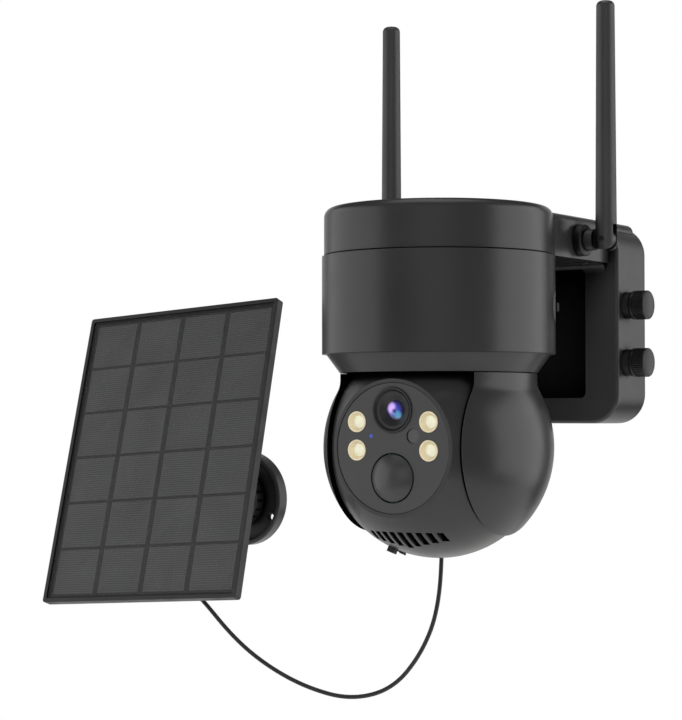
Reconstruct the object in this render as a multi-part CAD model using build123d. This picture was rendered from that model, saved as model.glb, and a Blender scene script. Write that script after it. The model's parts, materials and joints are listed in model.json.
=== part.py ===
from build123d import *
from math import acos, cos, pi, radians, sin, sqrt, tan
import os

# A wall camera with a turning, tilting eye, two fold-down antennas and a solar panel on its own ball mount.
# Millimetres. The wall is the plane Y = 0, the camera looks towards -Y, +X is its right as seen from the
# front, +Z is up, and the origin is the middle of the four wall screws.

# ---- walls and clearances ----
wall = 2.6
thin_wall = 2.4
body_gap = 0.3
running_gap = 0.05

# ---- drum, cap and arm ----
drum_y = -118.5
drum_radius = 55.5
drum_bottom = -17.2
seam_z = 30.0
seam_gap = 0.6
cap_radius = drum_radius - 1.0
cap_top = 52.5
top_rounding = 4.5
arm_half_width = drum_radius - 8.7
arm_top = 51.2
arm_cap_blend = 9.0
arm_cover_thickness = 2.4

# ---- wall box ----
box_half_width = arm_half_width + 5.2
box_depth = 31.0
box_height = 100.4
box_corner = 15.0
box_edge_rounding = 2.0
recess_width = 68.0
recess_low = -37.4
recess_high = 27.4
recess_corner = 3.0
recess_floor = 4.0
wall_screw_spacing_x = 48.0
wall_screw_spacing_z = 40.0
wall_screw_hole = 2.3
under_arm_blend = 5.0

# ---- cable entries on the box's side ----
entry_y = -21.4
entry_heights = {"upper": 9.0, "lower": -19.7}
entry_radius = 7.25
entry_collar_length = 3.6
entry_cap_length = 8.35
entry_stem_radius = 4.0

# ---- antennas ----
antenna_y = -62.9
antenna_z = 39.0
antenna_reach = arm_half_width + 14.4
antenna_base_radius = 7.7
antenna_base_height = 4.2
antenna_bush_radius = 3.5
antenna_root_radius = 5.2
antenna_tip_rounding = 2.6
antenna_tip_radius = 4.45
antenna_tip_z = 154.7
antenna_tongue = 4.0
antenna_tongue_radius = 4.4
antenna_slot_gap = 0.2
antenna_slot_height = antenna_tongue_radius + 2.6
elbow_pin_radius = 1.2
swivel_radius = 2.5

# ---- lower collar and neck ----
collar_top_radius = drum_radius - 2.0
collar_bottom_radius = drum_radius - 8.5
collar_bottom = -26.0
hub_radius = collar_bottom_radius - 3.2
hub_collar_gap = 0.6
hub_low = -7.5
hub_high = -4.5
neck_radius = hub_radius + 3.0
neck_blend = 12.0
neck_gap = 0.4
spindle_radius = 8.0
spindle_bore = 4.0
deck_low = -3.5
deck_high = -0.5

# ---- pan drive ----
gear_module = 1.5
gear_teeth = 38
pinion_teeth = 14
gear_height = 6.0
gear_bore = 6.0
gear_backlash = 0.15
pinion_shaft_radius = 2.5
motor_radius = 10.2
motor_height = 16.0

# ---- battery and main board ----
cell_radius = 9.2
cell_length = 65.0
cell_pitch = 18.6
cell_count = 3
tray_floor = 10.5
board_z = 36.0
board_radius = drum_radius - 9.5
board_thickness = 1.6
# each chip's middle across and along, then its width, depth and height
board_chips = ((-18, 10, 16, 16, 2), (12, 14, 10, 10, 1.6), (14, -16, 24, 12, 5), (-20, -18, 8, 14, 7))

# ---- yoke and eye ----
eye_inset = 3.0
eye_radius = drum_radius - eye_inset
eye_half_width = 34.6
eye_z = hub_low - 1.2 - eye_radius
yoke_radius = eye_radius + 2.3
cheek_inner = eye_half_width + 1.8
cheek_plate = 2.2
eye_split = 9.0
tilt_shaft_radius = 2.5
tilt_pin_radius = 4.0
tilt_pin_depth = 3.4
tilt_bush_radius = 6.0
tilt_motor_radius = 14.0
tilt_shaft_depth = 7.0

# ---- the eye's face, as distances across and up from its middle ----
face_radius = 30.1
face_rim = 1.94
face_distance = sqrt(eye_radius**2 - (face_radius + face_rim) ** 2)
face_thickness = 2.2
face_recess = 0.2
face_seat = 1.8
face_gap = 0.2
lens_up = 17.5
lens_ring_radius = 10.5
lens_barrel_radius = 8.75
lens_glass_radius = 4.6
lamp_across = 19.4
lamp_ups = (12.1, -1.0)
lamp_radius = 4.85
lamp_lens_radius = 3.05
lamp_depth = 2.3
window_place = (11.0, 5.6)
window_radius = 3.35
status_place = (-11.8, 5.6)
status_radius = 1.0
motion_up = -13.7
motion_radius = 10.9
motion_bulge = 4.2
motion_groove = 0.7
vent_count = 9
vent_pitch = 4.6
vent_width = 3.0
vent_top = -38.8
vent_low = -46.4
vent_taper = 0.9
vent_back = 12.0

# ---- small covers ----
service_angle = 24.0
service_z = 5.4
service_radius = 7.3
service_plug_radius = 4.2
card_direction = (-16.0, -11.5, -48.0)
card_radius = 6.0
button_radius = 1.5
card_tab_place = card_radius - 2.2
card_tab_size = (3.0, 4.0, 3.4)
cover_thickness = 1.5
cover_gap = 0.35
hinge_offset = 0.8
hinge_bead_radius = 0.5

# ---- solar panel ----
panel_width = 129.0
panel_height = 167.0
panel_thickness = 5.0
panel_rim = 2.2
panel_corner = 1.6
panel_tilt_back = 19.3
panel_roll = 4.1
mount_x = -198.0
mount_z = -93.7
ball_out = 12.5
stem_length = 74.7
stem_below_middle = 3.9
stem_radius = 3.0
glass_recess = 1.0
glass_thickness = 1.2
cell_columns = 4
cell_rows = 6
column_gap = 3.4
row_gap = 1.8
field_margin = 1.2
cell_thickness = 0.3
boss_radius = 11.0
boss_height = 6.0
nut_radius = 8.0
nut_height = 5.5
junction_size = (46.0, 26.0, 9.0)
junction_place = (2.0, -31.0)
gland_across = 16.0
gland_length = 10.0
gland_radius = 3.8

# ---- panel wall base ----
base_radius = 27.0
base_thickness = 7.5
base_rim = 2.2
base_recess = 4.0
base_screw_circle = 42.0
base_screw_hole = 2.2
base_screw_count = 3
ball_radius = 8.0
liner_thickness = 1.2
cup_radius = 12.5
mouth_angle = 54.0
mouth_lift = 9.3
clamp_radius = 15.8

# ---- cable ----
cable_radius = 1.1
socket_place = (-38.0, -50.5)
socket_radius = 5.0
socket_flange = 6.5
plug_radius = 4.6
plug_bottom = 12.0
plug_tail = 4.0
cable_route = [
    (-38.0, -50.5, 4.0),
    (-38.2, -50.6, -30.0),
    (-39.4, -52.6, -68.0),
    (-36.4, -53.2, -110.0),
    (-38.6, -54.0, -146.0),
    (-47.5, -57.0, -169.0),
    (-62.0, -61.6, -187.0),
    (-83.0, -68.5, -193.0),
    (-105.5, -75.7, -187.6),
    (-126.0, -82.4, -177.0),
    (-143.5, -88.0, -163.0),
    (-161.5, -94.5, -141.0),
]

from_base = (Align.CENTER, Align.CENTER, Align.MIN)
from_top = (Align.CENTER, Align.CENTER, Align.MAX)
x_axis, y_axis, z_axis = (1, 0, 0), (0, 1, 0), (0, 0, 1)
far = 400.0
drum_centre = Vector(0, drum_y, 0)
eye_centre = Vector(0, drum_y, eye_z)
saved = []
os.makedirs("parts", exist_ok=True)


def save(name, *solids):
    shape = solids[0] if len(solids) == 1 else Compound(children=list(solids))
    export_step(shape, f"parts/{name}.step")
    saved.append(name)


def rod(start, direction, radius, length):
    """A cylinder from a point, along a direction."""
    return Plane(origin=start, z_dir=direction) * Cylinder(radius, length, align=from_base)


def taper(start, direction, first_radius, last_radius, length):
    """A cone from a point, along a direction."""
    return Plane(origin=start, z_dir=direction) * Cone(first_radius, last_radius, length, align=from_base)


def block(x_range, y_range, z_range):
    """A box between pairs of coordinates."""
    spans = (x_range, y_range, z_range)
    middle = [(low + high) / 2 for low, high in spans]
    return Pos(*middle) * Box(*[high - low for low, high in spans])


def upright_slab(width, height, corner, y_range, z_middle=0.0):
    """A round-cornered rectangle that faces -Y, between two distances from the wall."""
    front, back = y_range
    plane = Plane(origin=(0, back, z_middle), x_dir=x_axis, z_dir=(0, -1, 0))
    return extrude(plane * RectangleRounded(width, height, corner), back - front)


def turned(points, centre=drum_centre):
    """A solid of revolution about the vertical through a point, from a closed (radius, height) outline."""
    outline = Polyline(*[(radius, height) for radius, height in points], close=True)
    profile = Plane.XZ * make_face(outline)
    return Pos(centre.X, centre.Y, 0) * revolve(profile, Axis.Z)


def edges_near_height(shape, height, tolerance=0.05):
    return shape.edges().filter_by(lambda edge: abs(edge.center().Z - height) < tolerance)


def hinge_bead(centre, outward, towards_hinge, surface_radius, cover_edge, half_length):
    """The round bead a small cover hinges on, with the tongue that joins it to the cover."""
    along = towards_hinge.cross(outward)
    frame = Plane(origin=centre, x_dir=towards_hinge, z_dir=outward)
    bead_x, bead_z = cover_edge + hinge_offset, surface_radius + hinge_offset
    start = centre + towards_hinge * bead_x + outward * bead_z - along * half_length
    bead = rod(start, along, hinge_bead_radius, 2 * half_length)
    reach = hinge_bead_radius + hinge_offset
    inner = frame * block(
        (cover_edge - 2 * reach, cover_edge - hinge_bead_radius), (-half_length, half_length),
        (surface_radius - hinge_offset, surface_radius + hinge_offset),
    )
    outer = frame * block(
        (cover_edge - hinge_offset, bead_x), (-half_length, half_length),
        (bead_z - hinge_offset, bead_z),
    )
    return bead + inner + outer


# ---------------------------------------------------------------- bracket, cap and arm


def arm_section(half_width, low, high, rounding, y_range):
    """The arm's solid: flat below, with rounded upper edges."""
    front, back = y_range
    face = Plane(origin=(0, back, 0), x_dir=x_axis, z_dir=(0, -1, 0)) * make_face(
        Polyline((-half_width, low), (half_width, low), (half_width, high), (-half_width, high), close=True)
    )
    face = fillet(face.vertices().sort_by(Axis.Z)[-2:], rounding)
    return extrude(face, back - front)


def side_blends():
    """The concave webs where the arm's sides leave the round cap."""
    middle = (drum_y - box_depth) / 2
    cap = Pos(0, drum_y) * Circle(cap_radius)
    arm = Pos(0, middle) * Rectangle(2 * arm_half_width, -box_depth - drum_y)
    plain = cap + arm
    touch_y = drum_y + sqrt(cap_radius**2 - arm_half_width**2)
    corners = [v for v in plain.vertices() if abs(v.Y - touch_y) < 0.1]
    return Pos(0, 0, seam_z) * extrude(fillet(corners, arm_cap_blend), arm_top - top_rounding - seam_z)


def build_bracket():
    cap = Pos(0, drum_y, seam_z) * Cylinder(cap_radius, cap_top - seam_z, align=from_base)
    cap = fillet(edges_near_height(cap, cap_top), top_rounding)
    arm = arm_section(arm_half_width, seam_z, arm_top, top_rounding, (drum_y, -wall))
    box = upright_slab(2 * box_half_width, box_height, box_corner, (-box_depth, 0))
    box = fillet(box.faces().sort_by(Axis.Y)[0].edges(), box_edge_rounding)
    under = block(
        (2 - arm_half_width, arm_half_width - 2),
        (-box_depth - under_arm_blend, -box_depth),
        (seam_z - under_arm_blend, seam_z),
    )
    under_start = (-far / 2, -box_depth - under_arm_blend, seam_z - under_arm_blend)
    under -= rod(under_start, x_axis, under_arm_blend, far)
    outer = cap + arm + side_blends() + box + under

    arm_inside = arm_half_width - wall
    room = Pos(0, drum_y, seam_z) * Cylinder(cap_radius - wall, cap_top - wall - seam_z, align=from_base)
    room += block((-arm_inside, arm_inside), (drum_y, -box_depth), (seam_z, arm_top - wall))
    wire_slot = block((-15, 15), (-box_depth, wall - box_depth), (36, 44))
    hollow = upright_slab(
        2 * (box_half_width - wall), box_height - 2 * wall, box_corner - wall, (wall - box_depth, 0)
    )
    recess_height = recess_high - recess_low
    recess_middle = (recess_high + recess_low) / 2
    hollow -= upright_slab(
        recess_width + 2 * thin_wall, recess_height + 2 * thin_wall, recess_corner + thin_wall,
        (-box_depth, 0), recess_middle,
    )
    recess = upright_slab(
        recess_width, recess_height, recess_corner, (-box_depth - 1, -recess_floor), recess_middle
    )
    bracket = outer - room - wire_slot - hollow - recess
    for x in (-wall_screw_spacing_x / 2, wall_screw_spacing_x / 2):
        for z in (-wall_screw_spacing_z / 2, wall_screw_spacing_z / 2):
            bracket -= rod((x, -box_depth, z), y_axis, wall_screw_hole, box_depth + 1)
    for side in (-1, 1):
        hole_start = (side * (arm_inside - 1), antenna_y, antenna_z)
        bracket -= rod(hole_start, (side, 0, 0), antenna_bush_radius, wall + 2)
    for height in entry_heights.values():
        start = (box_half_width - wall - 1, entry_y, height)
        bracket -= rod(start, x_axis, entry_stem_radius + running_gap, wall + 2)
    save("bracket_cap", bracket)

    cover_depth = 2.2
    cover = block(
        (-arm_inside, arm_inside), (drum_y, -box_depth), (seam_z, seam_z + arm_cover_thickness)
    )
    cover -= Pos(0, drum_y, seam_z - 1) * Cylinder(cap_radius - cover_depth, far / 10, align=from_base)
    cover -= rod((*socket_place, seam_z - 1), z_axis, socket_radius, arm_cover_thickness + 2)
    save("arm_cover", cover)


# ---------------------------------------------------------------- drum and what it holds


def service_frame():
    """The service cover's outward direction and the point under its middle on the drum's axis."""
    outward = Vector(cos(radians(service_angle)), sin(radians(service_angle)), 0)
    return Vector(0, drum_y, service_z), outward


def build_drum():
    drum_inside = drum_radius - wall
    shell = turned([
        (drum_inside, drum_bottom), (drum_radius, drum_bottom),
        (drum_radius, seam_z - seam_gap), (drum_inside, seam_z - seam_gap),
    ])
    start, outward = service_frame()
    seat = drum_radius - cover_thickness - body_gap
    pocket = rod(start, outward, service_radius + cover_gap, drum_radius + 1)
    pocket -= Pos(0, drum_y, service_z) * Cylinder(seat, 60)
    shell -= pocket
    shell -= rod(start, outward, service_plug_radius + 0.8, drum_radius + 1)
    save("drum_shell", shell)

    ring_bore = hub_radius + hub_collar_gap
    save("lower_collar", turned([
        (ring_bore, collar_bottom), (collar_bottom_radius, collar_bottom),
        (collar_top_radius, drum_bottom), (drum_inside, drum_bottom), (drum_inside, deck_low),
        (drum_inside - wall, deck_low), (drum_inside - wall, drum_bottom + wall),
        (ring_bore, drum_bottom + wall),
    ]))
    save("drum_seal", turned([
        (drum_inside, seam_z - seam_gap), (cap_radius - 0.5, seam_z - seam_gap),
        (cap_radius - 0.5, seam_z), (drum_inside, seam_z),
    ]))

    cover = rod(start, outward, service_radius, drum_radius + 1)
    cover &= Pos(0, drum_y, service_z) * Cylinder(drum_radius, 60)
    cover -= Pos(0, drum_y, service_z) * Cylinder(drum_radius - cover_thickness, 60)
    plug = rod(start + outward * (drum_inside - 0.5), outward, service_plug_radius, 2.4)
    rearward = Vector(0, 0, 1).cross(outward)
    bead = hinge_bead(start, outward, rearward, drum_radius, service_radius, 2.0)
    save("service_cover", cover + plug + bead)


def gear(teeth, height, bore, turn=0.0):
    """A spur gear with 20 degree involute flanks, a tooth on +X before it is turned."""
    pitch = gear_module * teeth / 2
    base = pitch * cos(radians(20))
    tip, root = pitch + 0.8 * gear_module, pitch - 1.1 * gear_module
    half_tooth = pi / 2 / teeth - gear_backlash / 2 / pitch + tan(radians(20)) - radians(20)

    def flank(radius):
        lean = acos(min(1.0, base / radius))
        return half_tooth - (tan(lean) - lean)

    radii = [root] + [max(root, base) + (tip - max(root, base)) * step / 3 for step in range(4)]
    if base <= root:
        radii = radii[1:]
    points = []
    for tooth in range(teeth):
        middle = 2 * pi * tooth / teeth + radians(turn)
        sides = [(r, middle - flank(r)) for r in radii] + [(r, middle + flank(r)) for r in reversed(radii)]
        points += [(r * cos(a), r * sin(a)) for r, a in sides]
    body = extrude(make_face(Polyline(*points, close=True)), height)
    return body - Pos(0, 0, -1) * Cylinder(bore, height + 2, align=from_base) if bore else body


def build_drive():
    pinion_x = gear_module * (gear_teeth + pinion_teeth) / 2
    gear_low = deck_high + body_gap
    plate_low = gear_low + gear_height + 0.5
    plate_thickness, plate_half_width, plate_half_length = 1.8, 7, 18
    post_half_width, post_half_length, post_place = 3, 2, 15
    motor_low = plate_low + plate_thickness
    shaft_hole = 4
    deck = rod((0, drum_y, deck_low), z_axis, drum_radius - wall - 0.1, deck_high - deck_low)
    deck -= Pos(0, drum_y, deck_low - 1) * Cylinder(spindle_radius + running_gap, 10, align=from_base)
    half_cells = cell_pitch * (cell_count - 1) / 2 + cell_radius
    for side in (-1, 1):
        post_y = drum_y + side * post_place
        deck += block((pinion_x - post_half_width, pinion_x + post_half_width),
                      (post_y - post_half_length, post_y + post_half_length), (deck_high, plate_low))
    deck += block((pinion_x - plate_half_width, pinion_x + plate_half_width),
                  (drum_y - plate_half_length, drum_y + plate_half_length), (plate_low, motor_low))
    deck -= Pos(pinion_x, drum_y, plate_low - 1) * Cylinder(shaft_hole, plate_thickness + 2, align=from_base)
    save("pan_deck", deck)

    motor = Pos(pinion_x, drum_y, motor_low) * Cylinder(motor_radius, motor_height, align=from_base)
    motor -= Pos(pinion_x, drum_y, motor_low - 1) * Cylinder(
        pinion_shaft_radius + running_gap, motor_height / 2, align=from_base
    )
    save("pan_motor", motor)

    save("pan_gear", Pos(0, drum_y, gear_low) * gear(gear_teeth, gear_height, gear_bore))
    pinion = Pos(pinion_x, drum_y, gear_low) * gear(pinion_teeth, gear_height, 0, 180 / pinion_teeth)
    pinion += Pos(pinion_x, drum_y, gear_low) * Cylinder(
        pinion_shaft_radius, motor_low - gear_low + motor_height / 3, align=from_base
    )
    save("pan_pinion", pinion)

    tray_end = cell_length / 2 + 0.7
    tray_wall, leg_radius, leg_inset = 2, 2.5, 4
    tray = block((-half_cells, half_cells), (drum_y - tray_end - tray_wall, drum_y + tray_end + tray_wall),
                 (tray_floor, tray_floor + tray_wall))
    for side in (-1, 1):
        inner, outer = sorted((drum_y + side * tray_end, drum_y + side * (tray_end + tray_wall)))
        end_half = half_cells - tray_wall
        tray += block((-end_half, end_half), (inner, outer), (tray_floor, board_z))
        for across in (-1, 1):
            leg_foot = (across * (half_cells - leg_inset), drum_y + side * tray_end, deck_high)
            tray += rod(leg_foot, z_axis, leg_radius, tray_floor - deck_high)
    save("battery_tray", tray)
    cells = []
    for index in range(cell_count):
        x = (index - (cell_count - 1) / 2) * cell_pitch
        cell_start = (x, drum_y - cell_length / 2, tray_floor + tray_wall + cell_radius)
        cells.append(rod(cell_start, y_axis, cell_radius, cell_length))
    save("battery_cells", *cells)

    board = Pos(0, drum_y, board_z) * Cylinder(board_radius, board_thickness, align=from_base)
    top = board_z + board_thickness
    for x, y, width, depth, height in board_chips:
        board += block((x - width / 2, x + width / 2), (drum_y + y - depth / 2, drum_y + y + depth / 2),
                       (top, top + height))
    save("main_board", board)


# ---------------------------------------------------------------- box fittings, antennas and socket


def build_entries():
    collars = []
    for name, height in entry_heights.items():
        outside = box_half_width
        collar = rod((outside, entry_y, height), x_axis, entry_radius - 0.6, entry_collar_length)
        bushing_radius = entry_stem_radius + running_gap
        collar += rod((outside - wall - 2, entry_y, height), x_axis, bushing_radius, wall + 2)
        collar -= rod((outside - wall - 3, entry_y, height), x_axis, entry_stem_radius - 1, 40)
        collars.append(collar)
        start = outside + entry_collar_length + body_gap
        cap = rod((start, entry_y, height), x_axis, entry_radius, entry_cap_length)
        cap = chamfer(cap.faces().sort_by(Axis.X)[-1].edges(), 0.5)
        stem = entry_stem_radius - 1 - running_gap
        cap += rod((outside - 2, entry_y, height), x_axis, stem, entry_collar_length + 3)
        save(f"entry_plug_{name}", cap)
    save("entry_collars", *collars)


def build_antennas():
    bases = []
    for name, side in (("left", -1), ("right", 1)):
        out = (side, 0, 0)
        inside = arm_half_width - wall - 2
        base_start = Vector(side * arm_half_width, antenna_y, antenna_z)
        base = rod(base_start, out, antenna_base_radius, antenna_base_height)
        base = chamfer(base.faces().sort_by(Axis.X)[0 if side < 0 else -1].edges(), 0.6)
        base += rod((side * inside, antenna_y, antenna_z), out, antenna_bush_radius, wall + 2)
        base -= rod((side * (arm_half_width - 1), antenna_y, antenna_z), out, swivel_radius + running_gap, 20)
        bases.append(base)

        hub_start = arm_half_width + antenna_base_height + body_gap
        hub_end = antenna_reach - antenna_root_radius - 0.5
        pin_centre = Vector(side * antenna_reach, antenna_y, antenna_z)
        knuckle = rod((side * hub_start, antenna_y, antenna_z), out, antenna_root_radius, hub_end - hub_start)
        pivot_start = arm_half_width - 0.8
        pivot_length = hub_start - pivot_start + 1
        knuckle += rod((side * pivot_start, antenna_y, antenna_z), out, swivel_radius, pivot_length)
        tongue_x = sorted((side * (hub_end - 1), side * antenna_reach))
        half = antenna_tongue / 2
        knuckle += block(tongue_x, (antenna_y - half, antenna_y + half),
                         (antenna_z - antenna_tongue_radius, antenna_z + antenna_tongue_radius))
        knuckle += rod(pin_centre - Vector(0, half, 0), y_axis, antenna_tongue_radius, antenna_tongue)
        knuckle -= rod(pin_centre - Vector(0, 10, 0), y_axis, elbow_pin_radius + running_gap, 20)
        save(f"antenna_knuckle_{name}", knuckle)

        length = antenna_tip_z - antenna_z
        antenna = Pos(*pin_centre) * Cone(antenna_root_radius, antenna_tip_radius, length, align=from_base)
        antenna = fillet(edges_near_height(antenna, antenna_tip_z), antenna_tip_rounding)
        low_end = rod(pin_centre - Vector(0, 0, antenna_root_radius), z_axis, antenna_root_radius,
                      antenna_root_radius)
        low_end &= rod(pin_centre - Vector(0, 10, 0), y_axis, antenna_root_radius, 20)
        antenna += low_end
        slot = half + antenna_slot_gap
        antenna -= block((pin_centre.X - 10, pin_centre.X + 10), (antenna_y - slot, antenna_y + slot),
                         (antenna_z - 10, antenna_z + antenna_slot_height))
        antenna -= rod(pin_centre - Vector(0, 10, 0), y_axis, elbow_pin_radius, 20)
        save(f"antenna_{name}", antenna)
        pin_half = antenna_root_radius - 0.4
        pin = rod(pin_centre - Vector(0, pin_half, 0), y_axis, elbow_pin_radius, 2 * pin_half)
        save(f"elbow_pin_{name}", pin)
    save("antenna_bases", *bases)


def build_socket():
    flange_height, socket_depth, plug_nose_radius, plug_nose_length = 2.5, 8, 3.5, 6
    socket = rod((*socket_place, seam_z - flange_height), z_axis, socket_flange, flange_height)
    socket += rod((*socket_place, seam_z), z_axis, socket_radius, socket_depth)
    socket -= rod((*socket_place, seam_z - flange_height - 1), z_axis, plug_nose_radius,
                  plug_nose_length + flange_height + 1)
    save("power_socket", socket)
    plug = rod((*socket_place, plug_bottom), z_axis, plug_radius, seam_z - flange_height - plug_bottom)
    plug = chamfer(edges_near_height(plug, plug_bottom), 0.8)
    plug += rod((*socket_place, seam_z - flange_height), z_axis, plug_nose_radius, plug_nose_length)
    plug += taper((*socket_place, plug_bottom), (0, 0, -1), 3.0, cable_radius + 0.5, plug_bottom - plug_tail)
    save("cable_plug", plug)


# ---------------------------------------------------------------- yoke


def yoke_form(shrink, blend):
    """The yoke's round outer form, or its inner one when shrunk by a wall."""
    hub = Pos(0, drum_y, eye_z) * Cylinder(hub_radius - shrink, hub_low - eye_z, align=from_base)
    neck_top = collar_bottom - neck_gap - (shrink and wall)
    neck = Pos(0, drum_y, eye_z) * Cylinder(neck_radius - shrink, neck_top - eye_z, align=from_base)
    globe = Pos(*eye_centre) * Sphere(yoke_radius - shrink)
    form = neck + globe
    if blend:
        meeting = eye_z + sqrt(yoke_radius**2 - neck_radius**2)
        form = fillet(edges_near_height(form, meeting), blend)
    return form + hub


def build_yoke():
    gear_low = deck_high + body_gap
    plate = Pos(0, drum_y, hub_low) * Cylinder(hub_radius, hub_high - hub_low, align=from_base)
    plate += Pos(0, drum_y, hub_high) * Cylinder(spindle_radius, gear_low - hub_high, align=from_base)
    plate += Pos(0, drum_y, gear_low) * Cylinder(gear_bore, gear_height, align=from_base)
    plate -= Pos(0, drum_y, hub_low - 1) * Cylinder(spindle_bore, far, align=from_base)
    save("yoke_hub", plate)

    outer = yoke_form(0, neck_blend)
    inner = yoke_form(thin_wall, 0)
    plates = []
    for name, side in (("left", -1), ("right", 1)):
        outside = block(sorted((side * cheek_inner, side * far)), (-far, far), (-far, far))
        cheek = outer & outside
        cheek -= inner
        save(f"yoke_cheek_{name}", cheek)
        slab_x = sorted((side * cheek_inner, side * (cheek_inner + cheek_plate)))
        slab = block(slab_x, (-far, far), (-far, far))
        cover = inner & slab
        if side > 0:
            cover -= rod((0, drum_y, eye_z), x_axis, 2 * tilt_shaft_radius, far)
        else:
            reach = cheek_inner - eye_half_width + tilt_pin_depth
            cover += rod((-cheek_inner, drum_y, eye_z), x_axis, tilt_pin_radius, reach)
        plates.append(cover)
    save("cheek_plates", *plates)

    motor_start = cheek_inner + cheek_plate
    motor_room = sqrt((yoke_radius - thin_wall) ** 2 - tilt_motor_radius**2) - motor_start - 0.6
    motor = rod((motor_start, drum_y, eye_z), x_axis, tilt_motor_radius, motor_room)
    motor_bore = tilt_shaft_radius + running_gap
    motor -= rod((motor_start - 1, drum_y, eye_z), x_axis, motor_bore, tilt_shaft_depth + 2)
    save("tilt_motor", motor)


# ---------------------------------------------------------------- eye


def face_point(across, up, depth):
    """A point on the eye's face, with its depth behind the flat front."""
    return Vector(across, drum_y - face_distance + depth, eye_z + up)


def into_face(across, up, depth, radius, length):
    return rod(face_point(across, up, depth), y_axis, radius, length)


def vents():
    cuts = []
    for index in range(vent_count):
        offset = index - (vent_count - 1) / 2
        low = vent_low + vent_taper * abs(offset)
        middle = offset * vent_pitch
        across = (middle - vent_width / 2, middle + vent_width / 2)
        cuts.append(block(across, (drum_y - far, drum_y - vent_back), (eye_z + low, eye_z + vent_top)))
    return cuts


def card_cover_frame():
    return eye_centre, Vector(*card_direction).normalized()


def build_eye_shells():
    outer = Pos(*eye_centre) * Sphere(eye_radius)
    outer &= block((-eye_half_width, eye_half_width), (drum_y - face_distance, far), (-far, far))
    inside_x = eye_half_width - thin_wall
    seat_depth = face_recess + face_thickness
    inner = Pos(*eye_centre) * Sphere(eye_radius - thin_wall)
    inner &= block((-inside_x, inside_x), (drum_y - face_distance + seat_depth + 2, far), (-far, far))
    shell = outer - inner
    shell -= into_face(0, 0, -1, face_radius + face_gap, seat_depth + 1)
    shell -= into_face(0, 0, -1, face_radius - face_seat, seat_depth + 5)
    shell -= rod((inside_x - 1, drum_y, eye_z), x_axis, tilt_shaft_radius, 10)
    shell -= rod((-inside_x + 1, drum_y, eye_z), (-1, 0, 0), tilt_bush_radius, 10)
    front = shell & block((-far, far), (-far, drum_y + eye_split), (-far, far))
    rear = shell & block((-far, far), (drum_y + eye_split, far), (-far, far))
    for vent in vents():
        front -= vent
    centre, outward = card_cover_frame()
    pocket = rod(centre, outward, card_radius + cover_gap, eye_radius + 1)
    pocket -= Pos(*centre) * Sphere(eye_radius - cover_thickness - 0.2)
    front -= pocket
    front -= rod(centre, outward, button_radius + 0.1, eye_radius + 1)
    save("eye_front_shell", front)
    save("eye_rear_shell", rear)

    cover = rod(centre, outward, card_radius, eye_radius + 1) & (Pos(*centre) * Sphere(eye_radius))
    cover -= Pos(*centre) * Sphere(eye_radius - cover_thickness)
    tab_start = centre + outward * (eye_radius - cover_thickness * 0.8) + side_of(outward) * card_tab_place
    tab_plane = Plane(origin=tab_start, x_dir=side_of(outward), z_dir=outward)
    tab = tab_plane * Box(*card_tab_size, align=from_base)
    bead = hinge_bead(centre, outward, side_of(outward) * -1, eye_radius, card_radius, 1.7)
    save("card_cover", cover + tab + bead)
    button_low = eye_radius - thin_wall - 1.4
    button_length = thin_wall - cover_thickness + 1.0
    save("reset_button", rod(centre + outward * button_low, outward, button_radius, button_length))

    shaft_start, shaft_end = inside_x - 4, cheek_inner + cheek_plate + tilt_shaft_depth
    save("tilt_shaft", rod((shaft_start, drum_y, eye_z), x_axis, tilt_shaft_radius, shaft_end - shaft_start))
    bush = rod((-eye_half_width, drum_y, eye_z), x_axis, tilt_bush_radius, 4)
    bush -= rod((-eye_half_width - 1, drum_y, eye_z), x_axis, tilt_pin_radius + running_gap, 6)
    save("tilt_bush", bush)


def side_of(outward):
    """The forward direction along a cover's face, towards its tab and away from its hinge."""
    forward = Vector(0, -1, 0)
    return (forward - outward * forward.dot(outward)).normalized()


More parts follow.
